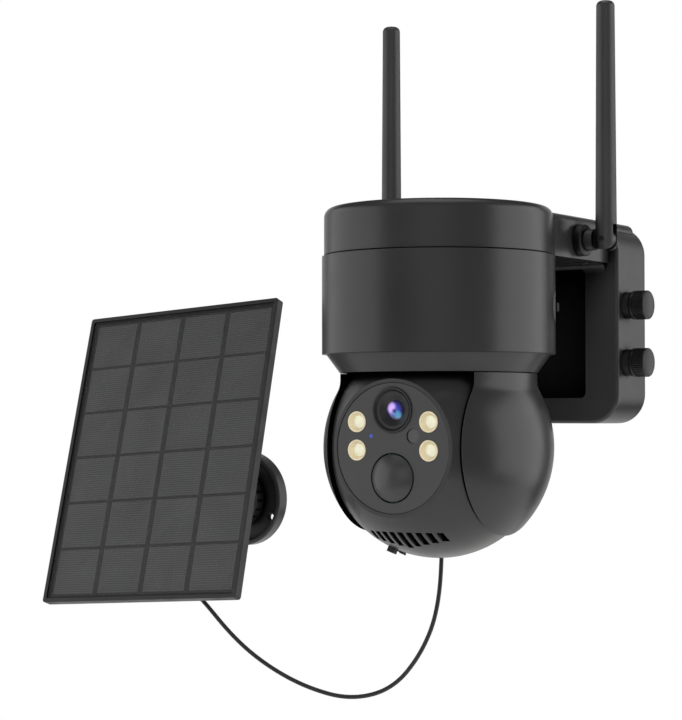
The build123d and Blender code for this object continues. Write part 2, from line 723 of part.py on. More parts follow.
def build_face():
    plate = into_face(0, 0, face_recess, face_radius, face_thickness)
    plate -= into_face(0, lens_up, -2, lens_ring_radius, 10)
    plate -= into_face(0, motion_up, -2, motion_radius + motion_groove, 10)
    plate -= into_face(*window_place, -2, window_radius + 0.05, 10)
    plate -= into_face(*status_place, -2, status_radius + 0.05, 10)
    lamp_places = [(side * lamp_across, up) for side in (-1, 1) for up in lamp_ups]
    for across, up in lamp_places:
        plate -= into_face(across, up, -2, lamp_radius, 10)
    save("face_plate", plate)

    ring = into_face(0, lens_up, -0.5, lens_ring_radius, 4)
    ring -= taper(face_point(0, lens_up, -0.5), y_axis, lens_ring_radius - 0.7, lens_barrel_radius, 1.6)
    ring -= into_face(0, lens_up, -1, lens_barrel_radius, 8)
    save("lens_ring", ring)
    barrel = into_face(0, lens_up, 0.6, lens_barrel_radius, 5)
    barrel += into_face(0, lens_up, 5.6, 7, 9)
    barrel -= taper(face_point(0, lens_up, 0.6), y_axis, lens_barrel_radius - 1.3, lens_glass_radius, 2.2)
    barrel -= into_face(0, lens_up, 0, lens_glass_radius, 9)
    save("lens_barrel", barrel)
    glass_sphere = 7.0
    sphere_centre = face_point(0, lens_up, 1.4 + glass_sphere)
    glass = into_face(0, lens_up, 0, lens_glass_radius, 5) & (Pos(*sphere_centre) * Sphere(glass_sphere))
    save("lens_glass", glass)

    cups, lenses = [], []
    for across, up in lamp_places:
        cup = into_face(across, up, 0, lamp_radius, 5)
        cup -= taper(face_point(across, up, 0), y_axis, lamp_radius - 0.7, lamp_lens_radius, lamp_depth)
        cup -= into_face(across, up, 1, lamp_lens_radius, 3)
        cups.append(cup)
        lens = into_face(across, up, 0, lamp_lens_radius, 4)
        dome = 5.0
        lens &= Pos(*face_point(across, up, 1.1 + dome)) * Sphere(dome)
        lenses.append(lens)
    save("lamp_cups", *cups)
    save("lamp_lenses", *lenses)

    dome_radius = (motion_radius**2 + motion_bulge**2) / 2 / motion_bulge
    motion = into_face(0, motion_up, -motion_bulge - 1, motion_radius, motion_bulge + 1)
    motion &= Pos(*face_point(0, motion_up, dome_radius - motion_bulge)) * Sphere(dome_radius)
    motion += into_face(0, motion_up, 0, motion_radius, face_recess + face_thickness)
    motion -= into_face(0, motion_up, 0.2, motion_radius - 1.4, 5)
    save("motion_lens", motion)
    save("light_window", into_face(*window_place, 0.9, window_radius, 1.5))
    save("status_lamp", into_face(*status_place, 0.3, status_radius, 3))

    board_depth = 5.8
    board = into_face(0, 0, board_depth, 27.4, 1.2)
    board -= into_face(0, lens_up, board_depth - 1, 7.3, 4)
    sensor_depth = 1.2
    board += into_face(0, motion_up, sensor_depth, 4.6, board_depth - sensor_depth)
    save("light_board", board)
    camera_board_depth = 14.6
    front = drum_y - face_distance + camera_board_depth
    save("camera_board", block((-19, 19), (front, front + 1.4), (eye_z - 10, eye_z + 30)))
    save("speaker", rod((0, drum_y + 2, eye_z - 38), z_axis, 13, 5))


# ---------------------------------------------------------------- solar panel


def panel_axes():
    """The panel's across, up and outward directions."""
    lean, roll = radians(panel_tilt_back), radians(panel_roll)
    outward = Vector(0, -cos(lean), sin(lean))
    level_up = Vector(0, sin(lean), cos(lean))
    across = Vector(1, 0, 0) * cos(roll) + level_up * sin(roll)
    return across, outward.cross(across), outward


across_panel, up_panel, out_panel = panel_axes()
ball_centre = Vector(mount_x, -ball_out, mount_z)
panel_middle = ball_centre + out_panel * stem_length + up_panel * stem_below_middle
panel_plane = Plane(origin=panel_middle, x_dir=across_panel, z_dir=out_panel)


def panel_slab(width, height, corner, top_depth, thickness, place=(0.0, 0.0)):
    """A round-cornered plate in the panel, a depth below its front."""
    face = Pos(*place, -top_depth) * RectangleRounded(width, height, corner)
    return panel_plane * extrude(face, -thickness)


def panel_rod(place, depth, radius, length):
    """A round piece behind the panel's front, square to it."""
    return panel_plane * (Pos(*place, -depth) * Cylinder(radius, length, align=from_top))


def build_panel():
    inner_width, inner_height = panel_width - 2 * panel_rim, panel_height - 2 * panel_rim
    ledge = 1.5
    frame = panel_slab(panel_width, panel_height, panel_corner, 0, panel_thickness)
    glass_bottom = glass_recess + glass_thickness
    frame -= panel_slab(inner_width, inner_height, 1, -1, glass_bottom + 1)
    field_width, field_height = inner_width - 2 * ledge, inner_height - 2 * ledge
    frame -= panel_slab(field_width, field_height, 1, glass_bottom - 1, panel_thickness)
    save("panel_frame", frame)
    save("panel_glass", panel_slab(inner_width, inner_height, 1, glass_recess, glass_thickness))

    cell_width = (field_width - (cell_columns - 1) * column_gap - 2 * field_margin) / cell_columns
    cell_height = (field_height - (cell_rows - 1) * row_gap - 2 * field_margin) / cell_rows
    cells = []
    for column in range(cell_columns):
        x = (column - (cell_columns - 1) / 2) * (cell_width + column_gap)
        for row in range(cell_rows):
            y = (row - (cell_rows - 1) / 2) * (cell_height + row_gap)
            box = Pos(x, y, -glass_bottom) * Box(
                cell_width, cell_height, cell_thickness, align=from_top
            )
            cells.append(panel_plane * box)
    save("solar_cells", *cells)

    back_depth = glass_bottom + cell_thickness
    stem_place = (0.0, -stem_below_middle)
    back = panel_slab(field_width, field_height, 1, back_depth, panel_thickness - back_depth)
    back += panel_rod(stem_place, panel_thickness, boss_radius, boss_height)
    back -= panel_rod(stem_place, panel_thickness - 0.5, stem_radius + running_gap, boss_height + 2)
    save("panel_back", back)

    width, height, depth = junction_size
    junction = panel_slab(width, height, 2, panel_thickness, depth, junction_place)
    save("junction_box", junction)
    gland_start = panel_plane.from_local_coords(
        Vector(gland_across, junction_place[1] - height / 2, -panel_thickness - depth / 2)
    )
    down_panel = up_panel * -1
    gland = rod(gland_start, down_panel, gland_radius, gland_length * 0.55)
    gland += taper(gland_start + down_panel * gland_length * 0.55, down_panel, gland_radius - 0.6,
                   cable_radius + 0.6, gland_length * 0.45)
    save("cable_gland", gland)
    return gland_start + down_panel * gland_length


def build_mount():
    base_back = Plane(origin=(mount_x, 0, mount_z), z_dir=(0, -1, 0))
    base = base_back * Cylinder(base_radius, base_thickness, align=from_base)
    base = fillet(base.faces().sort_by(Axis.Y)[0].edges(), 1.4)
    base -= rod((mount_x, -base_thickness - 1, mount_z), y_axis, base_radius - base_rim, base_recess + 1)
    base += base_back * Cylinder(cup_radius, ball_out + 7, align=from_base)
    socket_radius_inside = ball_radius + liner_thickness + 2 * running_gap
    base -= Pos(*ball_centre) * Sphere(socket_radius_inside)
    mouth_direction = Vector(0, -cos(radians(mouth_lift)), sin(radians(mouth_lift)))
    mouth_length = 20.0
    mouth = taper(ball_centre, mouth_direction, 0.01, mouth_length * tan(radians(mouth_angle)), mouth_length)
    base -= mouth
    for index in range(base_screw_count):
        angle = radians(90 + 360 * index / base_screw_count)
        x = mount_x + base_screw_circle / 2 * cos(angle)
        z = mount_z + base_screw_circle / 2 * sin(angle)
        base -= rod((x, -20, z), y_axis, base_screw_hole, 30)
    save("wall_base", base)

    clamp = rod((mount_x, -base_thickness - 7.5, mount_z), y_axis, clamp_radius, 9)
    clamp -= rod((mount_x, -40, mount_z), y_axis, cup_radius + body_gap, 50)
    save("clamp_collar", chamfer(clamp.faces().sort_by(Axis.Y)[0].edges().sort_by(SortBy.RADIUS)[-1:], 1))

    liner = Pos(*ball_centre) * Sphere(ball_radius + liner_thickness + running_gap)
    liner -= Pos(*ball_centre) * Sphere(ball_radius + running_gap)
    pan_room = 47.0
    liner -= taper(ball_centre, out_panel, 0.01, mouth_length * tan(radians(pan_room)), mouth_length)
    save("ball_liner", liner)

    stem = Pos(*ball_centre) * Sphere(ball_radius)
    stem += rod(ball_centre, out_panel, stem_radius, stem_length - panel_thickness - 0.1)
    save("ball_stem", stem)
    nut_end = stem_length - panel_thickness - boss_height - body_gap
    nut_start = ball_centre + out_panel * (nut_end - nut_height)
    nut = Plane(origin=nut_start, x_dir=across_panel, z_dir=out_panel) * extrude(
        RegularPolygon(nut_radius, 6), nut_height
    )
    nut -= rod(nut_start - out_panel, out_panel, stem_radius, nut_height + 2)
    save("lock_nut", nut)


def build_cable(gland_end):
    """Straight runs joined by tangent arcs, from the plug's tail to the gland on the panel's back."""
    below_gland = gland_end - up_panel * 12.5
    route = [Vector(*point) for point in cable_route] + [below_gland, gland_end]
    runs = [after - before for before, after in zip(route, route[1:])]
    radii = []
    for before, after in zip(runs, runs[1:]):
        half_turn = radians(before.get_angle(after) / 2)
        radii.append(0.45 * min(before.length, after.length) / tan(half_turn))
    print("cable runs", [round(run.length, 1) for run in runs])
    print("cable radii", [round(radius, 1) for radius in radii])
    path = FilletPolyline(*route, radius=radii)
    section = Plane(origin=path @ 0, z_dir=path % 0) * Circle(cable_radius)
    cable = sweep(section, path=path)
    print("cable length", round(path.length, 1), "volume check", round(cable.volume, 1),
          round(pi * cable_radius**2 * path.length, 1))
    save("solar_cable", cable)


build_bracket()
build_drum()
build_drive()
build_entries()
build_antennas()
build_socket()
build_yoke()
build_eye_shells()
build_face()
build_mount()
build_cable(build_panel())
print(len(saved), "nodes;", "pinion ratio", round(-gear_teeth / pinion_teeth, 6))
print("panel middle", [round(value, 2) for value in panel_middle], "out", out_panel, "up", up_panel)
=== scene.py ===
import json
from math import cos, pi, radians, sin

import bpy
from mathutils import Matrix, Vector


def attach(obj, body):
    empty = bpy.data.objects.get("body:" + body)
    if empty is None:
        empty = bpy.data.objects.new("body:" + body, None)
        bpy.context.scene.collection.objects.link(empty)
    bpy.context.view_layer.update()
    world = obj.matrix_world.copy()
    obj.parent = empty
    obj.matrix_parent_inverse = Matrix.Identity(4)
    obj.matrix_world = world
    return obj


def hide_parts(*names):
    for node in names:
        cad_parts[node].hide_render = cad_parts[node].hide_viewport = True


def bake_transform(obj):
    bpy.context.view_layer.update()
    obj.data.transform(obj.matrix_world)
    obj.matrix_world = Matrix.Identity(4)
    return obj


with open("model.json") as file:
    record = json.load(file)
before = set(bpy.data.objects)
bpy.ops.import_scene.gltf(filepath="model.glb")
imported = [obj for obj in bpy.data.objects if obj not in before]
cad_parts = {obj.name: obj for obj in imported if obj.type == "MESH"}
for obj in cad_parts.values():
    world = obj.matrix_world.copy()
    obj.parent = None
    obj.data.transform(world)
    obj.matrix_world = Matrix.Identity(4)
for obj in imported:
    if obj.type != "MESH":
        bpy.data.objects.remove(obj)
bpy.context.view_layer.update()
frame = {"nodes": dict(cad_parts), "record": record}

mm = 0.001


# ---- camera
cameraView = {
    "place": (0.500, -0.958, -0.046),
    "pitch": 91.54,
    "turn": 33.5,
    "lens": 102.5,
    "sensor": 36,
}


def addCamera(view):
    data = bpy.data.cameras.new("studioCamera")
    data.lens = view["lens"]
    data.sensor_width = view["sensor"]
    data.clip_start, data.clip_end = 0.05, 60
    camera = bpy.data.objects.new("studioCamera", data)
    camera.location = view["place"]
    camera.rotation_euler = (radians(view["pitch"]), 0, radians(view["turn"]))
    bpy.context.scene.collection.objects.link(camera)
    bpy.context.scene.camera = camera


addCamera(cameraView)
print("camera placed")


# ---- the panel's own directions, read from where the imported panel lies
panel = {
    "tilt": 19.3, "roll": 4.1, "ball": (-198.0, -12.5, -93.7), "stem": 74.7, "belowMiddle": 3.9,
}
lean, roll = radians(panel["tilt"]), radians(panel["roll"])
panelOut = Vector((0, -cos(lean), sin(lean)))
levelUp = Vector((0, sin(lean), cos(lean)))
panelAcross = Vector((1, 0, 0)) * cos(roll) + levelUp * sin(roll)
panelUp = panelOut.cross(panelAcross)
ballCentre = Vector(panel["ball"]) * mm
panelMiddle = ballCentre + panelOut * panel["stem"] * mm + panelUp * panel["belowMiddle"] * mm


# ---- cable from the plug under the arm to the gland on the panel's back
cable = {
    "diameter": 2.2,
    "length": 351.0,
    "route": [
        (-38.0, -50.5, 4.0),
        (-38.2, -50.6, -30.0),
        (-39.4, -52.6, -68.0),
        (-36.4, -53.2, -110.0),
        (-38.6, -54.0, -146.0),
        (-47.5, -57.0, -169.0),
        (-62.0, -61.6, -187.0),
        (-83.0, -68.5, -193.0),
        (-105.5, -75.7, -187.6),
        (-126.0, -82.4, -177.0),
        (-143.5, -88.0, -163.0),
        (-161.5, -94.5, -141.0),
        (-177.57, -94.30, -130.00),
        (-178.46, -90.17, -118.23),
    ],
    "sides": 20,
    "bendStart": (-40.0, -60.0, -130.0),  # a point near the camera's end of the cable
    "bendEnd": (-165.0, -60.0, -130.0),  # and one near the panel's end
}


def cableLine(settings):
    curve = bpy.data.curves.new("cableRoute", "CURVE")
    curve.dimensions = "3D"
    curve.resolution_u = 10
    spline = curve.splines.new("NURBS")
    spline.points.add(len(settings["route"]) - 1)
    for point, place in zip(spline.points, settings["route"]):
        point.co = (*(Vector(place) * mm), 1)
    spline.order_u = 3
    spline.use_endpoint_u = True
    holder = bpy.data.objects.new("cableRoute", curve)
    line = bpy.data.meshes.new_from_object(holder)
    points = [v.co.copy() for v in line.vertices]
    bpy.data.objects.remove(holder)
    return points


# A round tube along a line, with a UV map whose V is metres along it
def tubeAlong(name, line, radius, sides):
    verts, faces, uvs = [], [], []
    direction = (line[1] - line[0]).normalized()
    side = direction.orthogonal().normalized()
    travel = 0.0
    travels = []
    for index, point in enumerate(line):
        before, after = line[max(index - 1, 0)], line[min(index + 1, len(line) - 1)]
        direction = (after - before).normalized()
        side = (side - direction * side.dot(direction)).normalized()
        other = direction.cross(side)
        if index:
            travel += (point - line[index - 1]).length
        travels.append(travel)
        for step in range(sides):
            angle = 2 * pi * step / sides
            verts.append(point + (side * cos(angle) + other * sin(angle)) * radius)
    for ring in range(len(line) - 1):
        for step in range(sides):
            a, b = ring * sides + step, ring * sides + (step + 1) % sides
            faces.append((a, b, b + sides, a + sides))
            u, nextU = step / sides, (step + 1) / sides
            low, high = travels[ring], travels[ring + 1]
            uvs.append(((u, low), (nextU, low), (nextU, high), (u, high)))
    last = (len(line) - 1) * sides
    faces.append(tuple(reversed(range(sides))))
    faces.append(tuple(range(last, last + sides)))
    uvs.append(((0, 0),) * sides)
    uvs.append(((0, travel),) * sides)
    mesh = bpy.data.meshes.new(name)
    mesh.from_pydata(verts, [], faces)
    layer = mesh.uv_layers.new(name="alongCable")
    for polygon, corners in zip(mesh.polygons, uvs):
        for loop, corner in zip(polygon.loop_indices, corners):
            layer.data[loop].uv = corner
    mesh.polygons.foreach_set("use_smooth", [len(f) == 4 for f in faces])
    tube = bpy.data.objects.new(name, mesh)
    bpy.context.scene.collection.objects.link(tube)
    return tube


cablePoints = cableLine(cable)
cableJacket = tubeAlong("cable_jacket", cablePoints, cable["diameter"] / 2 * mm, cable["sides"])
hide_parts("solar_cable")
print("cable laid:", len(cablePoints), "points")


# ---- modelling helpers


def clearSelection():
    if bpy.context.mode != "OBJECT":
        bpy.ops.object.mode_set(mode="OBJECT")
    bpy.ops.object.select_all(action="DESELECT")


def pickOnly(piece):
    clearSelection()
    piece.select_set(True)
    bpy.context.view_layer.objects.active = piece


# Bakes a piece's place into its mesh, so its object sits at the origin
def settle(piece, place=None):
    matrix = (place or Matrix.Identity(4)) @ piece.matrix_world
    piece.data.transform(matrix)
    piece.matrix_world = Matrix.Identity(4)
    piece.data.update()


# A frame at a point whose Z is the given direction and whose X leans towards a side
def frameAt(point, direction, side=(1, 0, 0)):
    zAxis = Vector(direction).normalized()
    xAxis = Vector(side) - zAxis * Vector(side).dot(zAxis)
    if xAxis.length < 0.01:
        xAxis = zAxis.orthogonal()
    xAxis.normalize()
    yAxis = zAxis.cross(xAxis)
    turn = Matrix((xAxis, yAxis, zAxis)).transposed().to_4x4()
    return Matrix.Translation(Vector(point)) @ turn


# A turned form up the Z axis: a circle is extruded and scaled through steps of (radius, height),
# in millimetres
def turnUp(name, steps, sides=64):
    clearSelection()
    radius, height = steps[0]
    bpy.ops.mesh.primitive_circle_add(
        vertices=sides, radius=radius * mm, fill_type="NGON", location=(0, 0, height * mm)
    )
    piece = bpy.context.object
    piece.name = piece.data.name = name
    bpy.ops.object.mode_set(mode="EDIT")
    bpy.ops.mesh.select_all(action="SELECT")
    for nextRadius, nextHeight in steps[1:]:
        rise = (nextHeight - height) * mm
        bpy.ops.mesh.extrude_region_move(TRANSFORM_OT_translate={"value": (0, 0, rise)})
        scale = nextRadius / radius
        bpy.ops.transform.resize(value=(scale, scale, 1), center_override=(0, 0, nextHeight * mm))
        radius, height = nextRadius, nextHeight
    bpy.ops.mesh.select_all(action="SELECT")
    bpy.ops.mesh.normals_make_consistent(inside=False)
    bpy.ops.object.mode_set(mode="OBJECT")
    settle(piece)
    return piece


def pickFaces(piece, wanted):
    pickOnly(piece)
    bpy.ops.object.mode_set(mode="EDIT")
    bpy.ops.mesh.select_mode(type="FACE")
    bpy.ops.mesh.select_all(action="DESELECT")
    bpy.ops.object.mode_set(mode="OBJECT")
    for face in piece.data.polygons:
        face.select = wanted(face)
    bpy.ops.object.mode_set(mode="EDIT")


# Sinks one in every few side faces between two heights, which leaves grip ribs
def cutGrip(piece, low, high, depth, every=2):
    def onSide(face):
        return abs(face.normal.z) < 0.3 and low * mm < face.center.z < high * mm

    def angleOf(face):
        return round(face.center.to_2d().angle_signed(Vector((1, 0))) % (2 * pi), 3)

    sideAngles = sorted({angleOf(face) for face in piece.data.polygons if onSide(face)})
    pickFaces(piece, lambda face: onSide(face) and sideAngles.index(angleOf(face)) % every == 0)
    bpy.ops.mesh.extrude_region_shrink_fatten(TRANSFORM_OT_shrink_fatten={"value": -depth * mm})
    bpy.ops.object.mode_set(mode="OBJECT")


def roundEdges(piece, width, segments=2, angle=35):
    pickOnly(piece)
    edge = piece.modifiers.new("edge", "BEVEL")
    edge.width = width * mm
    edge.segments = segments
    edge.limit_method = "ANGLE"
    edge.angle_limit = radians(angle)
    bpy.ops.object.modifier_apply(modifier=edge.name)
    bpy.ops.object.shade_smooth_by_angle(angle=radians(angle))


def joinPieces(name, pieces):
    clearSelection()
    for piece in pieces:
        piece.select_set(True)
    bpy.context.view_layer.objects.active = pieces[0]
    bpy.ops.object.join()
    pieces[0].name = pieces[0].data.name = name
    return pieces[0]


def addBlock(name, size, middle):
    clearSelection()
    bpy.ops.mesh.primitive_cube_add(size=1, location=Vector(middle) * mm)
    piece = bpy.context.object
    piece.name = piece.data.name = name
    piece.scale = Vector(size) * mm
    bpy.context.view_layer.update()
    settle(piece)
    return piece


def cutWith(piece, cutter):
    pickOnly(piece)
    cut = piece.modifiers.new("cut", "BOOLEAN")
    cut.operation = "DIFFERENCE"
    cut.solver = "EXACT"
    cut.object = cutter
    bpy.ops.object.modifier_apply(modifier=cut.name)
    bpy.data.objects.remove(cutter)


def copyPiece(piece, name, place):
    twin = piece.copy()
    twin.data = piece.data.copy()
    twin.name = twin.data.name = name
    bpy.context.scene.collection.objects.link(twin)
    twin.data.transform(place)
    return twin


# ---- material helpers: each finish is a Principled shader fed by patterns on Object coordinates


def startFinish(name, look):
    material = bpy.data.materials.new(name)
    material.use_nodes = True
    tree = material.node_tree
    shader = tree.nodes["Principled BSDF"]
    shader.inputs["Metallic"].default_value = look.get("metallic", 0)
    shader.inputs["Coat Weight"].default_value = look.get("coat", 0)
    shader.inputs["Coat Roughness"].default_value = look.get("coatRoughness", 0.1)
    shader.inputs["IOR"].default_value = look.get("ior", 1.5)
    shader.inputs["Sheen Weight"].default_value = look.get("sheen", 0)
    return material, tree, shader


def addNode(tree, kind, **settings):
    node = tree.nodes.new(kind)
    for key, value in settings.items():
        setattr(node, key, value)
    return node


def noiseOf(tree, vector, scale, detail=2.0):
    noise = addNode(tree, "ShaderNodeTexNoise")
    noise.inputs["Scale"].default_value = scale
    noise.inputs["Detail"].default_value = detail
    tree.links.new(vector, noise.inputs["Vector"])
    return noise.outputs["Fac"]


def spread(tree, value, low, high, fromLow=0.35, fromHigh=0.65, smooth=False):
    node = addNode(tree, "ShaderNodeMapRange", clamp=True)
    if smooth:
        node.interpolation_type = "SMOOTHSTEP"
    limits = {"From Min": fromLow, "From Max": fromHigh, "To Min": low, "To Max": high}
    for socket, number in limits.items():
        node.inputs[socket].default_value = number
    tree.links.new(value, node.inputs["Value"])
    return node.outputs["Result"]


# A colour made darker or lighter
def tinted(colour, factor, lift=0.0):
    return tuple(c * factor + lift for c in colour)


def mixColours(tree, amount, first, second):
    mix = addNode(tree, "ShaderNodeMix", data_type="RGBA")
    for socket, colour in ((6, first), (7, second)):
        if isinstance(colour, (tuple, list)):
            mix.inputs[socket].default_value = (*colour, 1)
        else:
            tree.links.new(colour, mix.inputs[socket])
    tree.links.new(amount, mix.inputs[0])
    return mix.outputs[2]


def calculate(tree, operation, first, second=None):
    node = addNode(tree, "ShaderNodeMath", operation=operation)
    for socket, value in zip(node.inputs, (first, second)):
        if value is None:
            continue
        if isinstance(value, (int, float)):
            socket.default_value = value
        else:
            tree.links.new(value, socket)
    return node.outputs[0]


def objectCoords(tree):
    return addNode(tree, "ShaderNodeTexCoord").outputs["Object"]


# Where an edge is worn: the rounded normal leaves the true one there. The rounded normal is given
# too, for bumps to build on.
def edgeMask(tree, radius):
    rounded = addNode(tree, "ShaderNodeBevel", samples=4)
    rounded.inputs["Radius"].default_value = radius
    geometry = addNode(tree, "ShaderNodeNewGeometry")
    dot = addNode(tree, "ShaderNodeVectorMath", operation="DOT_PRODUCT")
    tree.links.new(rounded.outputs["Normal"], dot.inputs[0])
    tree.links.new(geometry.outputs["Normal"], dot.inputs[1])
    return spread(tree, dot.outputs["Value"], 1, 0, 0.75, 0.985), rounded.outputs["Normal"]


# How open a point is to its surroundings, from 0 deep in a hollow to 1 on an outer face
def opennessOf(tree, reach, floor):
    shade = addNode(tree, "ShaderNodeAmbientOcclusion", samples=8)
    shade.inputs["Distance"].default_value = reach
    return spread(tree, shade.outputs["AO"], floor, 1, 0.42, 0.68, smooth=True)


# 1 within a box in millimetres and 0 outside it
def insideBox(tree, place, spans):
    split = addNode(tree, "ShaderNodeSeparateXYZ")
    tree.links.new(place, split.inputs[0])
    inside = None
    for socket, (low, high) in zip(split.outputs, spans):
        near = addNode(tree, "ShaderNodeMath", operation="COMPARE")
        tree.links.new(socket, near.inputs[0])
        near.inputs[1].default_value = (low + high) / 2 * mm
        near.inputs[2].default_value = (high - low) / 2 * mm
        within = near.outputs[0]
        inside = within if inside is None else calculate(tree, "MULTIPLY", inside, within)
    return inside


def addBump(tree, shader, height, strength, distance, normal=None):
    bump = addNode(tree, "ShaderNodeBump")
    bump.inputs["Strength"].default_value = strength
    bump.inputs["Distance"].default_value = distance
    tree.links.new(height, bump.inputs["Height"])
    if normal is not None:
        tree.links.new(normal, bump.inputs["Normal"])
    tree.links.new(bump.outputs["Normal"], shader.inputs["Normal"])


# What every moulded finish shares, unless its own look says otherwise
mouldedBase = {
    "cloudScale": 28, "shineScale": 95, "edgeRadius": 0.5,
    "speckle": 0.12, "speckleTint": 1.5, "speckleLift": 0.004,
    "wornTint": 2.2, "wornLift": 0.02, "leastWear": 0.4,
    "hollowShadeReach": 48, "hollowShadeTone": 0.02, "hollowShadeTint": 0.05, "specular": 0.5,
}


# Moulded plastic or rubber: spark-eroded grain, slow clouds of tone, handling shine, paler worn
# edges, and painted shade that darkens hollows and their reflections
def mouldedFinish(name, ownLook):
    look = {**mouldedBase, **ownLook}
    plain, wear = look["colour"], look["wear"]
    material, tree, shader = startFinish(name, look)
    place = objectCoords(tree)
    clouds = noiseOf(tree, place, look["cloudScale"], 3)
    grain = noiseOf(tree, place, look["grainScale"], 3)
    shine = noiseOf(tree, place, look["shineScale"], 4)
    dark, light = tinted(plain, 1 - look["tone"]), tinted(plain, 1 + look["tone"])
    colour = mixColours(tree, spread(tree, clouds, 0, 1), dark, light)
    speckle = spread(tree, grain, 0, look["speckle"], 0.5, 0.8)
    speckleColour = tinted(plain, look["speckleTint"], look["speckleLift"])
    colour = mixColours(tree, speckle, colour, speckleColour)
    worn, softNormal = edgeMask(tree, look["edgeRadius"] * mm)
    rubbed = calculate(tree, "MULTIPLY", worn, spread(tree, shine, wear * look["leastWear"], wear))
    wornColour = tuple(min(1.0, c) for c in tinted(plain, look["wornTint"], look["wornLift"]))
    colour = mixColours(tree, rubbed, colour, wornColour)
    # painted shade: ambient occlusion darkens the colour in hollows, creases and between parts
    openness = opennessOf(tree, look["hollowShadeReach"] * mm, look["hollowShadeTone"])
    if "pocket" in look:
        # painted shade: the screw recess, a box in object coordinates, is darkened further
        inPocket = insideBox(tree, place, look["pocket"])
        pocketShade = spread(tree, inPocket, 1, look["pocketTone"], 0, 1)
        openness = calculate(tree, "MULTIPLY", openness, pocketShade)
    colour = mixColours(tree, openness, tinted(plain, look["hollowShadeTint"]), colour)
    tree.links.new(colour, shader.inputs["Base Color"])
    # the painted shade also dims the reflections in those hollows
    specular = calculate(tree, "MULTIPLY", openness, look["specular"])
    tree.links.new(specular, shader.inputs["Specular IOR Level"])
    middle, swing = look["roughness"], look["roughSpread"]
    tree.links.new(spread(tree, shine, middle - swing, middle + swing), shader.inputs["Roughness"])
    addBump(tree, shader, grain, look["grainStrength"], look["grainDepth"] * mm, softNormal)
    return material


metalBase = {
    "metallic": 1, "cloudScale": 40, "darkTint": 0.82, "roughSpread": 0.07,
    "lineStrength": 0.25, "lineDepth": 0.02, "edgeRadius": 0.25,
}


# Machined or plated metal: fine lines round or along one axis, over slow tone
def metalFinish(name, ownLook):
    look = {**metalBase, **ownLook}
    material, tree, shader = startFinish(name, look)
    place = objectCoords(tree)
    stretch = addNode(tree, "ShaderNodeMapping")
    stretch.inputs["Scale"].default_value = look["stretch"]
    tree.links.new(place, stretch.inputs["Vector"])
    lines = noiseOf(tree, stretch.outputs["Vector"], look["lineScale"], 4)
    clouds = noiseOf(tree, place, look["cloudScale"], 2)
    dark = tinted(look["colour"], look["darkTint"])
    colour = mixColours(tree, spread(tree, clouds, 0, 1), dark, look["colour"])
    tree.links.new(colour, shader.inputs["Base Color"])
    middle, swing = look["roughness"], look["roughSpread"]
    tree.links.new(spread(tree, lines, middle - swing, middle + swing), shader.inputs["Roughness"])
    softNormal = edgeMask(tree, look["edgeRadius"] * mm)[1]
    addBump(tree, shader, lines, look["lineStrength"], look["lineDepth"] * mm, softNormal)
    return material


glossBase = {
    "dustScale": 1400, "cloudScale": 120, "roughSpread": 0.06,
    "rippleStrength": 0.15, "rippleDepth": 0.05, "edgeRadius": 0.2,
}


# A smooth clear or tinted skin: nearly even, with faint ripple and dust
def glossFinish(name, ownLook):
    look = {**glossBase, **ownLook}
    material, tree, shader = startFinish(name, look)
    place = objectCoords(tree)
    dust = noiseOf(tree, place, look["dustScale"], 4)
    clouds = noiseOf(tree, place, look["cloudScale"], 2)
    dark = tinted(look["colour"], 1 - look["tone"])
    colour = mixColours(tree, spread(tree, clouds, 0, 1), dark, look["colour"])
    tree.links.new(colour, shader.inputs["Base Color"])
    roughest = look["roughness"] + look["roughSpread"]
    rough = spread(tree, dust, look["roughness"], roughest, 0.45, 0.75)
    tree.links.new(rough, shader.inputs["Roughness"])
    if "glow" in look:
        shader.inputs["Emission Color"].default_value = (*look["glowColour"], 1)
        shader.inputs["Emission Strength"].default_value = look["glow"]
    softNormal = edgeMask(tree, look["edgeRadius"] * mm)[1]
    addBump(tree, shader, clouds, look["rippleStrength"], look["rippleDepth"] * mm, softNormal)
    return material


